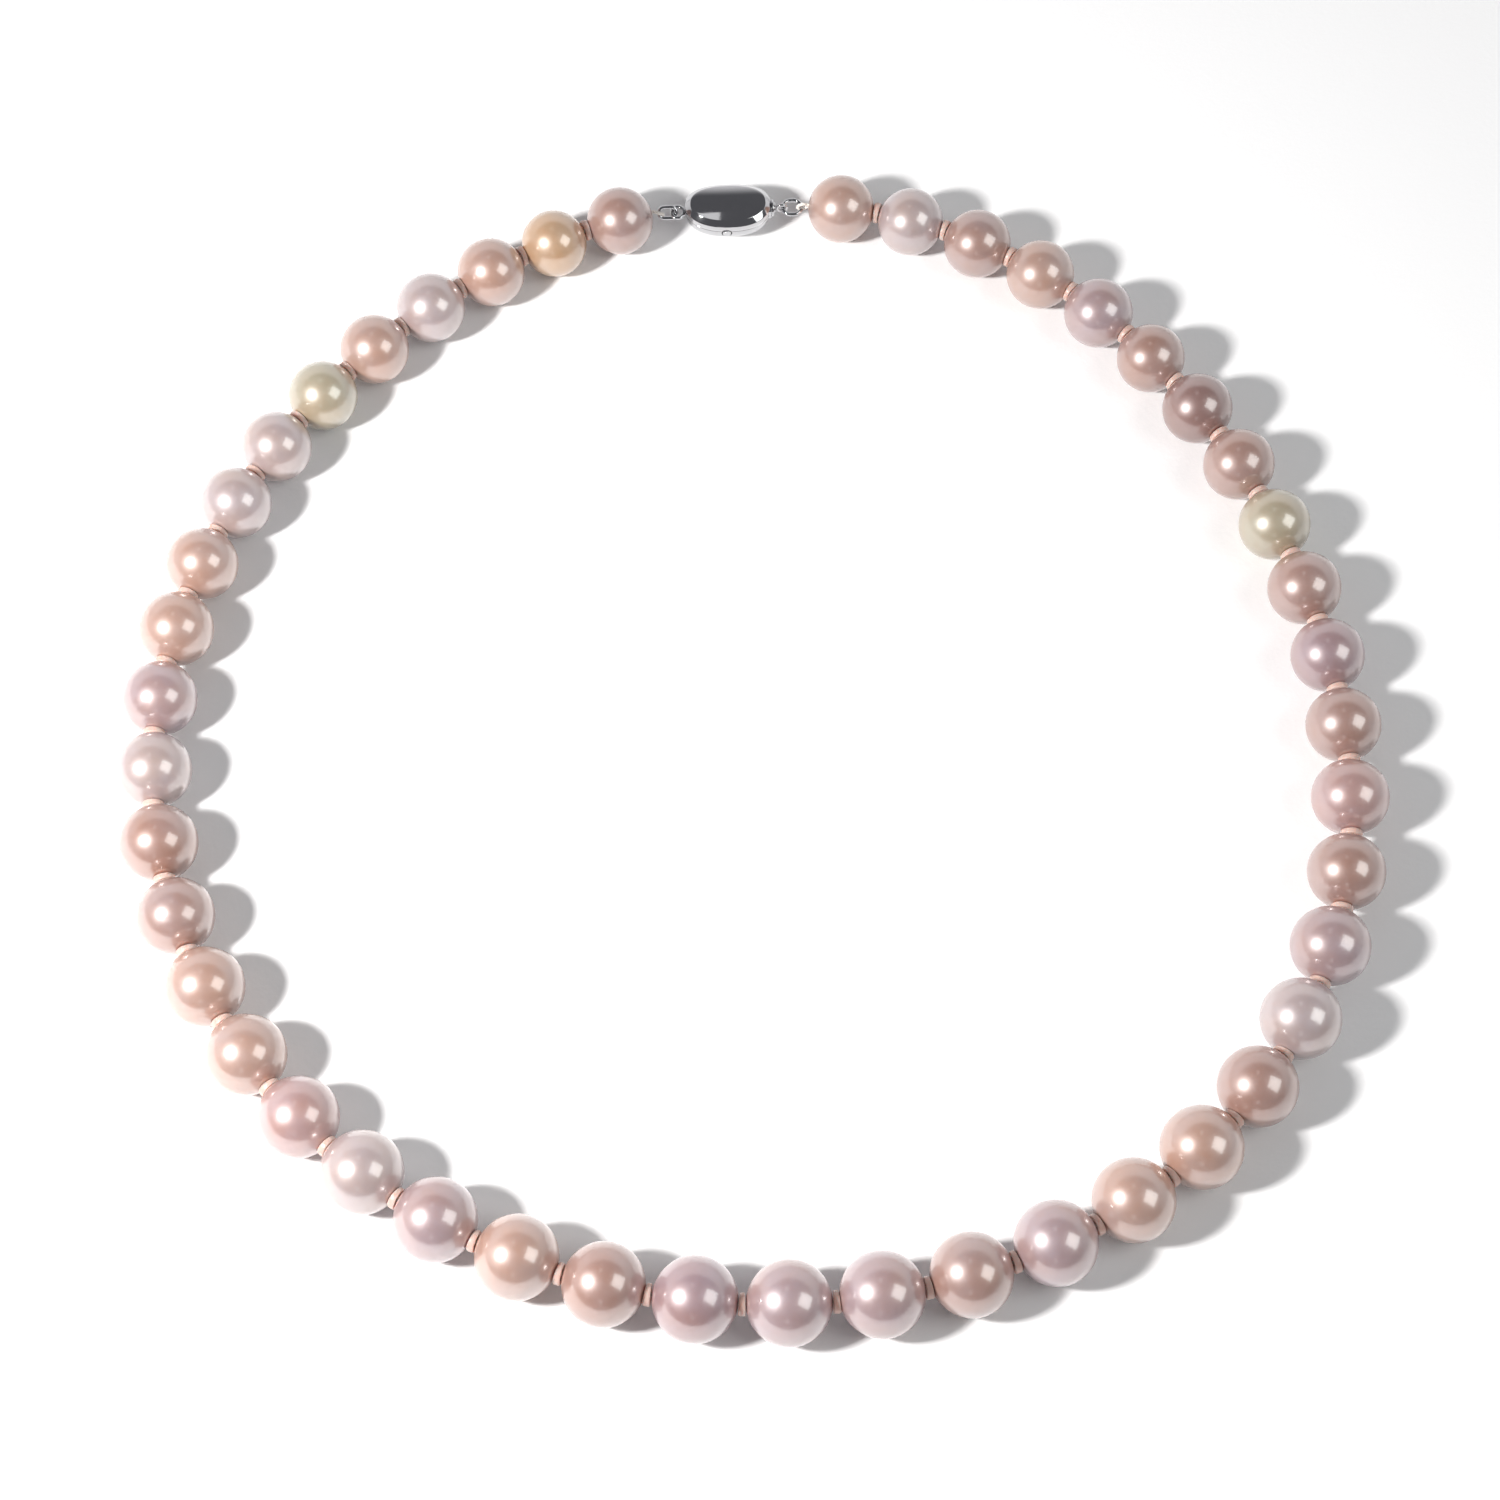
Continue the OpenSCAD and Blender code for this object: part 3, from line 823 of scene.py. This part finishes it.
def wire_ring_tree():
    """A bent wire: a circle drawn out into an oval, with a soldered joint on one side."""
    tree, given = new_geometry_tree(
        "Wire Ring", Length="float", Width="float", Wire="float", Solder="float",
        Turn="vector", Centre="vector", Material="material")
    radius = tree.math("MULTIPLY", tree.math("SUBTRACT", given["Width"], given["Wire"]), 0.5)
    draw = tree.math("MULTIPLY", tree.math("SUBTRACT", given["Length"], given["Width"]), 0.5)
    shift = tree.math("MULTIPLY", tree.math("SIGN", tree.parts(tree.position())["X"]), draw)
    oval = tree.make("GeometryNodeSetPosition", Geometry=tree.circle(radius, 96),
                     Offset=tree.join(shift, 0.0))
    share = tree.add("GeometryNodeSplineParameter").outputs["Factor"]
    near = tree.math("ABSOLUTE", tree.math("SUBTRACT", share, SOLDER_AT))
    bead = tree.ramp(near, 0.0, SOLDER_SHARE, given["Solder"], 0.0)
    wire = tree.make("GeometryNodeCurveToMesh", Curve=oval,
                     Profile_Curve=tree.circle(tree.math("MULTIPLY", given["Wire"], 0.5), 24),
                     Scale=tree.math("ADD", bead, 1.0))
    turned = tree.make("FunctionNodeEulerToRotation", Euler=given["Turn"])
    placed = tree.make("GeometryNodeTransform", Geometry=wire,
                       Translation=given["Centre"], Rotation=turned)
    return end_geometry_tree(tree, placed, given["Material"])


# length and width outside and wire in millimetres, and the turn in the clasp's own axes
WIRE_RINGS = {
    "box_eye": (2.2, 1.9, 0.5, (0, 0, math.pi / 2)),
    "left_jump_ring": (2.7, 1.9, 0.5, (JUMP_RING_TILT, 0, 0)),
    "right_jump_ring": (2.85, 2.65, 0.5, (0, 0, 0)),
    "tongue_eye": (1.6, 1.6, 0.4, (math.pi / 2, 0, 0)),
}


class NECKLACE_OT_rings(bpy.types.Operator):
    """Bend and solder the eyes and the jump rings"""

    bl_idname = "necklace.rings"
    bl_label = "Rings"

    def execute(self, context):
        group = wire_ring_tree()
        for node, (length, width, wire, turn) in WIRE_RINGS.items():
            low, high = clasp_box(node)
            obj = grow(node + "_wire", group, Length=length * MM, Width=width * MM,
                       Wire=wire * MM, Solder=0.12, Turn=Vector(turn), Centre=(low + high) / 2,
                       Material=material_of("silver"))
            obj.data.transform(CLASP)
            finish_piece(obj, node)
        return {"FINISHED"}


# ------------------------ clasp box

OUTLINE_STEPS = 144
CAP_RINGS = 14
SLOT_PLAY = 0.1 * MM
SLOT_DEPTH = 4 * MM
BUTTON_HOLE = 0.67 * MM  # radius
BUTTON_HOLE_DEPTH = 2.2 * MM


def boat_outline(half_length, half_width, inset):
    """The box seen from above: straight at the back, full at the front, blunt at the left."""
    points = []
    for i in range(OUTLINE_STEPS):
        turn = math.tau * i / OUTLINE_STEPS
        c, s = math.cos(turn), math.sin(turn)
        x = math.copysign(abs(c) ** (0.9 if c > 0 else 0.8), c) + 0.07 * min(s, 0) ** 2
        y = math.copysign(abs(s) ** (0.76 if s > 0 else 1.06), s)
        points.append(Vector((x * (half_length - inset), y * (half_width - inset), 0)))
    return points


def shell_profile(height, bevel):
    """Inset and height up the outside, from the underside's rim to the facet's edge."""
    band = height - bevel * 0.85
    wall = [(0.95, 0.0), (0.62, 0.05), (0.38, 0.18), (0.2, 0.42), (0.08, 0.8), (0.02, 1.2),
            (0.0, 1.64), (0.03, 1.70), (0.0, 1.76), (0.0, 2.1)]
    return [(inset * MM, z * MM) for inset, z in wall] + [
        (0.01 * MM, band - SOFT_EDGE), (0.03 * MM, band), (0.08 * MM, band + SOFT_EDGE),
        (bevel - 0.06 * MM, height - 0.05 * MM), (bevel - 0.03 * MM, height - 0.025 * MM),
        (bevel, height - 0.01 * MM), (bevel + SOFT_EDGE, height)]


class NECKLACE_OT_box(bpy.types.Operator):
    """Form the two shells of the clasp box"""

    bl_idname = "necklace.box"
    bl_label = "Clasp Box"

    def execute(self, context):
        look = context.scene.necklace_clasp
        low, high = clasp_box("box_top_shell")
        self.half_length = (high.x - low.x) / 2
        self.half_width = (high.y - low.y) / 2
        self.height = high.z
        self.seam = low.z
        profile = shell_profile(self.height - look.dome, look.facet_inset)
        lower = [p for p in profile if p[1] <= self.seam + WELD]
        upper = [p for p in profile if p[1] >= self.seam - WELD]
        for name, stack, is_top in (("box_bottom_shell", lower, False),
                                    ("box_top_shell", upper, True)):
            obj = self.make_shell(name + "_silver", stack, is_top, look)
            self.cut_openings(obj)
            obj.data.transform(CLASP)
            finish_piece(obj, name)
        return {"FINISHED"}

    def ring(self, bm, inset, z, wall=0.0):
        return [bm.verts.new((p.x, p.y, z)) for p in
                boat_outline(self.half_length, self.half_width, inset + wall)]

    def make_shell(self, name, stack, is_top, look):
        """An outer skin, an inner skin a wall's thickness in, and the rim that joins them."""
        def build(bm):
            outer = [self.ring(bm, inset, z) for inset, z in stack]
            if is_top:
                ceiling = self.height - look.dome - look.wall
                inner = [self.ring(bm, inset, min(z, ceiling), look.wall) for inset, z in stack]
            else:
                inner = [self.ring(bm, inset, max(z, look.wall), look.wall) for inset, z in stack]
            bridge_rings(bm, outer)
            bridge_rings(bm, inner)
            rim, closed = (0, -1) if is_top else (-1, 0)
            bridge_rings(bm, [outer[rim], inner[rim]])
            self.cap(bm, outer[closed], look.dome if is_top else 0.0)
            self.cap(bm, inner[closed], 0.0)
            bmesh.ops.remove_doubles(bm, verts=bm.verts, dist=1e-7)

        return mesh_from(name, build, material_of("silver"))

    def cap(self, bm, edge, rise):
        """Closes a ring with smaller copies of itself, rising to the middle."""
        base = edge[0].co.z
        rings = [edge]
        for step in range(1, CAP_RINGS):
            share = 1 - step / CAP_RINGS
            z = base + rise * (1 - share ** 2.2)
            rings.append([bm.verts.new((v.co.x * share, v.co.y * share, z)) for v in edge])
        bridge_rings(bm, rings)
        top = bm.verts.new((0, 0, base + rise))
        last = rings[-1]
        for i in range(len(last)):
            bm.faces.new((last[i], last[(i + 1) % len(last)], top))

    def cut_openings(self, obj):
        """The slot for the tongue in the right end, and the round hole for the button."""
        plug_low, plug_high = clasp_box("tongue_leaf")
        button_low, button_high = clasp_box("release_button")
        size = plug_high - plug_low + 2 * Vector((0, SLOT_PLAY, SLOT_PLAY))
        size.x = SLOT_DEPTH
        middle = (plug_high + plug_low) / 2
        middle.x = plug_high.x
        button = (button_low + button_high) / 2
        button.y = button_low.y
        bm = bmesh.new()
        bmesh.ops.create_cube(bm, size=1)
        bmesh.ops.transform(bm, verts=bm.verts, matrix=stretched_to(size, middle))
        bmesh.ops.create_cone(
            bm, cap_ends=True, segments=48, radius1=BUTTON_HOLE, radius2=BUTTON_HOLE,
            depth=BUTTON_HOLE_DEPTH,
            matrix=Matrix.Translation(button) @ Matrix.Rotation(math.pi / 2, 4, "X"))
        slot = bpy.data.meshes.new("slot")
        bm.to_mesh(slot)
        bm.free()
        cutter = new_object("cutter", slot)
        cut = obj.modifiers.new("Openings", "BOOLEAN")
        cut.object, cut.operation, cut.solver = cutter, "DIFFERENCE", "EXACT"
        apply_modifiers(obj)
        bpy.data.objects.remove(cutter)


# ------------------------ tongue

STRIP_THICK = 0.35 * MM
PLUG_LENGTH = 1.2 * MM


def rounded_block(bm, low, high, edge):
    """A block with softened edges between two corners."""
    made = bmesh.ops.create_cube(bm, size=1)["verts"]
    bmesh.ops.transform(bm, verts=made, matrix=stretched_to(high - low, (low + high) / 2))
    edges = {e for v in made for e in v.link_edges}
    bmesh.ops.bevel(bm, geom=list(edges), offset=edge, segments=3, affect="EDGES", profile=0.5)


def strip(bm, path, thickness, low_z, high_z):
    """A bent flat strip standing on edge along a path in the XY plane."""
    sides = []
    for i, point in enumerate(path):
        before, after = path[max(i - 1, 0)], path[min(i + 1, len(path) - 1)]
        way = (after - before).normalized()
        out = Vector((-way.y, way.x))
        sides.append((point + out * thickness / 2, point - out * thickness / 2))
    rings = []
    for left, right in sides:
        inward = (right - left).normalized() * SOFT_EDGE
        under, over = low_z + SOFT_EDGE, high_z - SOFT_EDGE
        corners = [(left + inward, low_z), (left, under), (left, over), (left + inward, high_z),
                   (right - inward, high_z), (right, over), (right, under),
                   (right - inward, low_z)]
        rings.append([bm.verts.new((p.x, p.y, z)) for p, z in corners])
    bridge_rings(bm, rings)
    bm.faces.new(rings[0])
    bm.faces.new(list(reversed(rings[-1])))


def turned_knob(bm, outline, sides=64):
    """A solid of revolution about X from (x, radius) pairs, closed on the axis."""
    rings = []
    for x, radius in outline[1:-1]:
        rings.append([bm.verts.new((x, radius * math.cos(t), radius * math.sin(t)))
                      for t in full_turn(sides)])
    bridge_rings(bm, rings)
    for end, ring in ((outline[0], rings[0]), (outline[-1], rings[-1])):
        pole = bm.verts.new((end[0], 0, 0))
        for i in range(sides):
            bm.faces.new((ring[i], ring[(i + 1) % sides], pole))


class NECKLACE_OT_tongue(bpy.types.Operator):
    """Bend the tongue, with its spring leg, release button and stop"""

    bl_idname = "necklace.tongue"
    bl_label = "Clasp Tongue"

    def execute(self, context):
        low, high = clasp_box("tongue_leaf")
        button_low, button_high = clasp_box("release_button")
        button_x = (button_low.x + button_high.x) / 2
        stop_low, stop_high = clasp_box("tongue_stop")

        def leaf(bm):
            plug = Vector((high.x - PLUG_LENGTH, low.y, low.z))
            rounded_block(bm, plug, high, 0.06 * MM)
            rounded_block(bm, Vector((low.x, high.y - STRIP_THICK, low.z)),
                          Vector((plug.x + 0.1 * MM, high.y, high.z)), 0.04 * MM)

        def spring_leg(bm):
            """A half turn at the fold, the slanted leg, and the pad behind the button."""
            radius = STRIP_THICK * 1.5
            fold = Vector((low.x, high.y - STRIP_THICK * 2))
            pad_y = button_high.y + STRIP_THICK / 2
            path = [fold + Vector((0.02 * MM, radius))]
            path += [fold + radius * Vector((-math.sin(t), math.cos(t))) for t in
                     (math.pi * i / 16 for i in range(15))]
            path += [Vector((button_x - 0.8 * MM, pad_y + 0.1 * MM)),
                     Vector((button_x - 0.5 * MM, pad_y)), Vector((button_x + 0.65 * MM, pad_y))]
            strip(bm, path, STRIP_THICK, low.z, high.z)

        def button(bm):
            radius = (button_high.z - button_low.z) / 2
            end = button_high.y - button_low.y
            turned_knob(bm, [
                (0, 0), (0, radius * 0.9), (0.03 * MM, radius), (end - 0.1 * MM, radius),
                (end - 0.04 * MM, radius * 0.93), (end - 0.01 * MM, radius * 0.8),
                (end, radius * 0.5), (end, 0)], 48)
            centre = Vector((button_x, button_high.y, (button_low.z + button_high.z) / 2))
            bmesh.ops.transform(bm, verts=bm.verts, matrix=Matrix.Translation(centre)
                                @ Matrix.Rotation(-math.pi / 2, 4, "Z"))

        def stop(bm):
            """A disc with a short neck that carries the eye."""
            r = (stop_high.z - stop_low.z) / 2
            x0, x1 = stop_low.x, stop_high.x
            turned_knob(bm, [
                (x0, 0), (x0, r * 0.85), (x0 + 0.04 * MM, r * 0.96), (x0 + 0.1 * MM, r),
                (x0 + 0.26 * MM, r), (x0 + 0.31 * MM, r * 0.93), (x0 + 0.36 * MM, r * 0.66),
                (x0 + 0.42 * MM, r * 0.6), (x1 - 0.1 * MM, r * 0.62), (x1 - 0.03 * MM, r * 0.55),
                (x1, r * 0.4), (x1, 0)])
            bmesh.ops.transform(bm, verts=bm.verts, matrix=Matrix.Translation(
                Vector((0, 0, (stop_low.z + stop_high.z) / 2))))

        for name, build, finish, slot, node in (
                ("tongue_leaf_strip", leaf, "spring", "spring_silver", "tongue_leaf"),
                ("tongue_spring_strip", spring_leg, "spring", "spring_silver", "tongue_spring"),
                ("release_button_cap", button, "silver", "polished_silver", "release_button"),
                ("tongue_stop_disc", stop, "silver", "polished_silver", "tongue_stop")):
            obj = mesh_from(name, build, material_of(finish))
            obj.data.transform(CLASP)
            finish_piece(obj, node)
        return {"FINISHED"}


# ------------------------ stage

KEY_WAY, KEY_DISTANCE, KEY_SIZE = Vector((-0.64, -0.30, 0.70)), 0.42, 0.05
FILL_WAY, FILL_DISTANCE, FILL_SIZE = Vector((0.63, -0.19, 0.67)), 1.0, 0.60
TABLE_HALF = 1.5
CAMERA_TARGET = Vector((-0.00015, -0.00177, 0))


def add_area_light(name, way, distance, size, power, colour):
    """A square lamp that looks at the table's middle."""
    light = bpy.data.lights.new(name, "AREA")
    light.shape, light.size, light.size_y = "RECTANGLE", size, size
    light.energy, light.color = power, colour
    obj = bpy.data.objects.new(name, light)
    obj.location = way.normalized() * distance
    obj.rotation_euler = way.to_track_quat("Z", "Y").to_euler()
    bpy.context.scene.collection.objects.link(obj)


def make_room(brightness):
    """A bright sweep behind, dimmer walls round the other sides, and a dark ceiling."""
    world = bpy.data.worlds.new("room")
    bpy.context.scene.world = world
    world.use_nodes = True
    tree = Tree(world.node_tree)
    world.node_tree.nodes.clear()
    x, y, z = tree.parts(tree.add("ShaderNodeTexCoord").outputs["Generated"])
    lean = tree.math("MULTIPLY_ADD", y, -0.45, z)
    sweep = tree.math("MULTIPLY", tree.ramp(lean, 0.18, 0.46, 1.0, 0.0),
                      tree.ramp(y, -0.6, 0.6, 0.3, 1.0, kind="LINEAR"))
    colour = tree.mix(sweep, (0.13, 0.13, 0.14, 1), (1.0, 0.99, 1.0, 1))
    # a pale panel overhead, a little to the back and the left, between four soft edges
    panel = tree.ramp(x, -0.165, -0.158, kind="LINEAR")
    for value, outside, inside in ((x, -0.028, -0.034), (lean, 0.715, 0.722), (lean, 0.875, 0.865)):
        panel = tree.math("MULTIPLY", panel, tree.ramp(value, outside, inside, kind="LINEAR"))
    colour = tree.mix(panel, colour, (1.0, 1.0, 1.0, 1))
    sky = tree.make("ShaderNodeBackground", Color=colour, Strength=brightness)
    out = tree.add("ShaderNodeOutputWorld")
    tree.tree.links.new(sky, out.inputs[0])


class NECKLACE_OT_stage(bpy.types.Operator):
    """Lay the pale table, light it and set up the camera"""

    bl_idname = "necklace.stage"
    bl_label = "Stage"

    def execute(self, context):
        look = context.scene.necklace_stage

        def plane(bm):
            bmesh.ops.create_grid(bm, x_segments=1, y_segments=1, size=TABLE_HALF)

        table = mesh_from("table", plane, material_of("table"), smooth=False)
        add_area_light("key_lamp", KEY_WAY, KEY_DISTANCE, KEY_SIZE, look.key, (1.0, 0.985, 0.97))
        add_area_light("soft_box", FILL_WAY, FILL_DISTANCE, FILL_SIZE, look.fill,
                       (0.97, 1.0, 0.98))
        make_room(look.room)
        camera = bpy.data.cameras.new("camera")
        camera.lens, camera.sensor_width = look.lens, 36
        eye = bpy.data.objects.new("camera", camera)
        eye.location = CAMERA_TARGET + look.distance * Vector(
            (0, -math.cos(look.elevation), math.sin(look.elevation)))
        eye.rotation_euler = (math.pi / 2 - look.elevation, 0, 0)
        context.scene.collection.objects.link(eye)
        context.scene.camera = eye
        context.scene.view_settings.view_transform = "Standard"
        return {"FINISHED"}


# ------------------------ panel and registration

STEPS = (
    NECKLACE_OT_stage, NECKLACE_OT_pearls, NECKLACE_OT_spacers, NECKLACE_OT_thread,
    NECKLACE_OT_rings, NECKLACE_OT_box, NECKLACE_OT_tongue,
)


class NECKLACE_PT_panel(bpy.types.Panel):
    """Lists the steps that make the necklace"""

    bl_idname = "NECKLACE_PT_panel"
    bl_label = "Pearl Necklace"
    bl_space_type = "VIEW_3D"
    bl_region_type = "UI"
    bl_category = "Necklace"

    def draw(self, context):
        for step in STEPS:
            self.layout.operator(step.bl_idname)
        for settings in SETTINGS:
            group = getattr(context.scene, settings)
            for key in group.bl_rna.properties.keys():
                if key not in ("rna_type", "name"):
                    self.layout.prop(group, key)


SETTINGS = {
    "necklace_pearls": PearlSettings,
    "necklace_stringing": StringingSettings,
    "necklace_clasp": ClaspSettings,
    "necklace_stage": StageSettings,
}


def register():
    for kind in (*SETTINGS.values(), *STEPS, NECKLACE_PT_panel):
        bpy.utils.register_class(kind)
    for name, kind in SETTINGS.items():
        setattr(bpy.types.Scene, name, bpy.props.PointerProperty(type=kind))


def unregister():
    for name in SETTINGS:
        delattr(bpy.types.Scene, name)
    for kind in (NECKLACE_PT_panel, *reversed(STEPS), *SETTINGS.values()):
        bpy.utils.unregister_class(kind)


def main():
    register()
    for step in STEPS:
        area, action = step.bl_idname.split(".")
        getattr(getattr(bpy.ops, area), action)()


if __name__ == "__main__":
    main()
